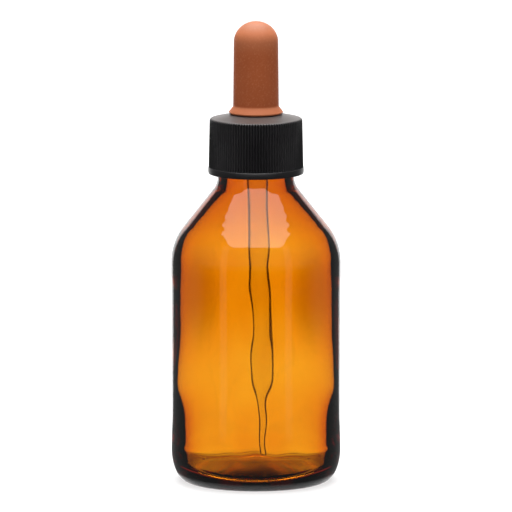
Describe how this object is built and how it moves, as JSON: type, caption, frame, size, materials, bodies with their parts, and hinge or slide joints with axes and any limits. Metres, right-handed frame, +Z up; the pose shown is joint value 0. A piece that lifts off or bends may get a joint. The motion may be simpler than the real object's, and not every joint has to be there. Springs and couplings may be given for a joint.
{
  "type": "dropper bottle",
  "caption": "Oval amber glass medicine bottle with a ribbed black screw cap, a red-brown rubber bulb and a glass pipette that lifts out.",
  "frame": {"origin": "middle of the foot ring that the bottle stands on", "axes": "+Z up through the neck, +X along the wide side of the oval, front of the bottle looks along -Y"},
  "size_m": [0.0564, 0.043, 0.1543],
  "materials": {
    "amber_glass": "polished amber",
    "black_plastic": "fine matte, moulded",
    "red_rubber": "dusty matte",
    "clear_glass": "polished clear"
  },
  "bodies": {
    "bottle": {"glass_bottle": "amber_glass"},
    "dropper": {"rubber_bulb": "red_rubber", "glass_pipette": "clear_glass"},
    "cap": {"screw_cap": "black_plastic"}
  },
  "joints": [
    {"name": "closure_lift", "type": "slide", "parent": "bottle", "child": "dropper", "axis": [0, 0, 1], "range_m": [0, 0.115]},
    {"name": "cap_turn", "type": "hinge", "parent": "dropper", "child": "cap", "pos_m": [0, 0, 0.114], "axis": [0, 0, 1], "range_deg": [0, 630]}
  ]
}
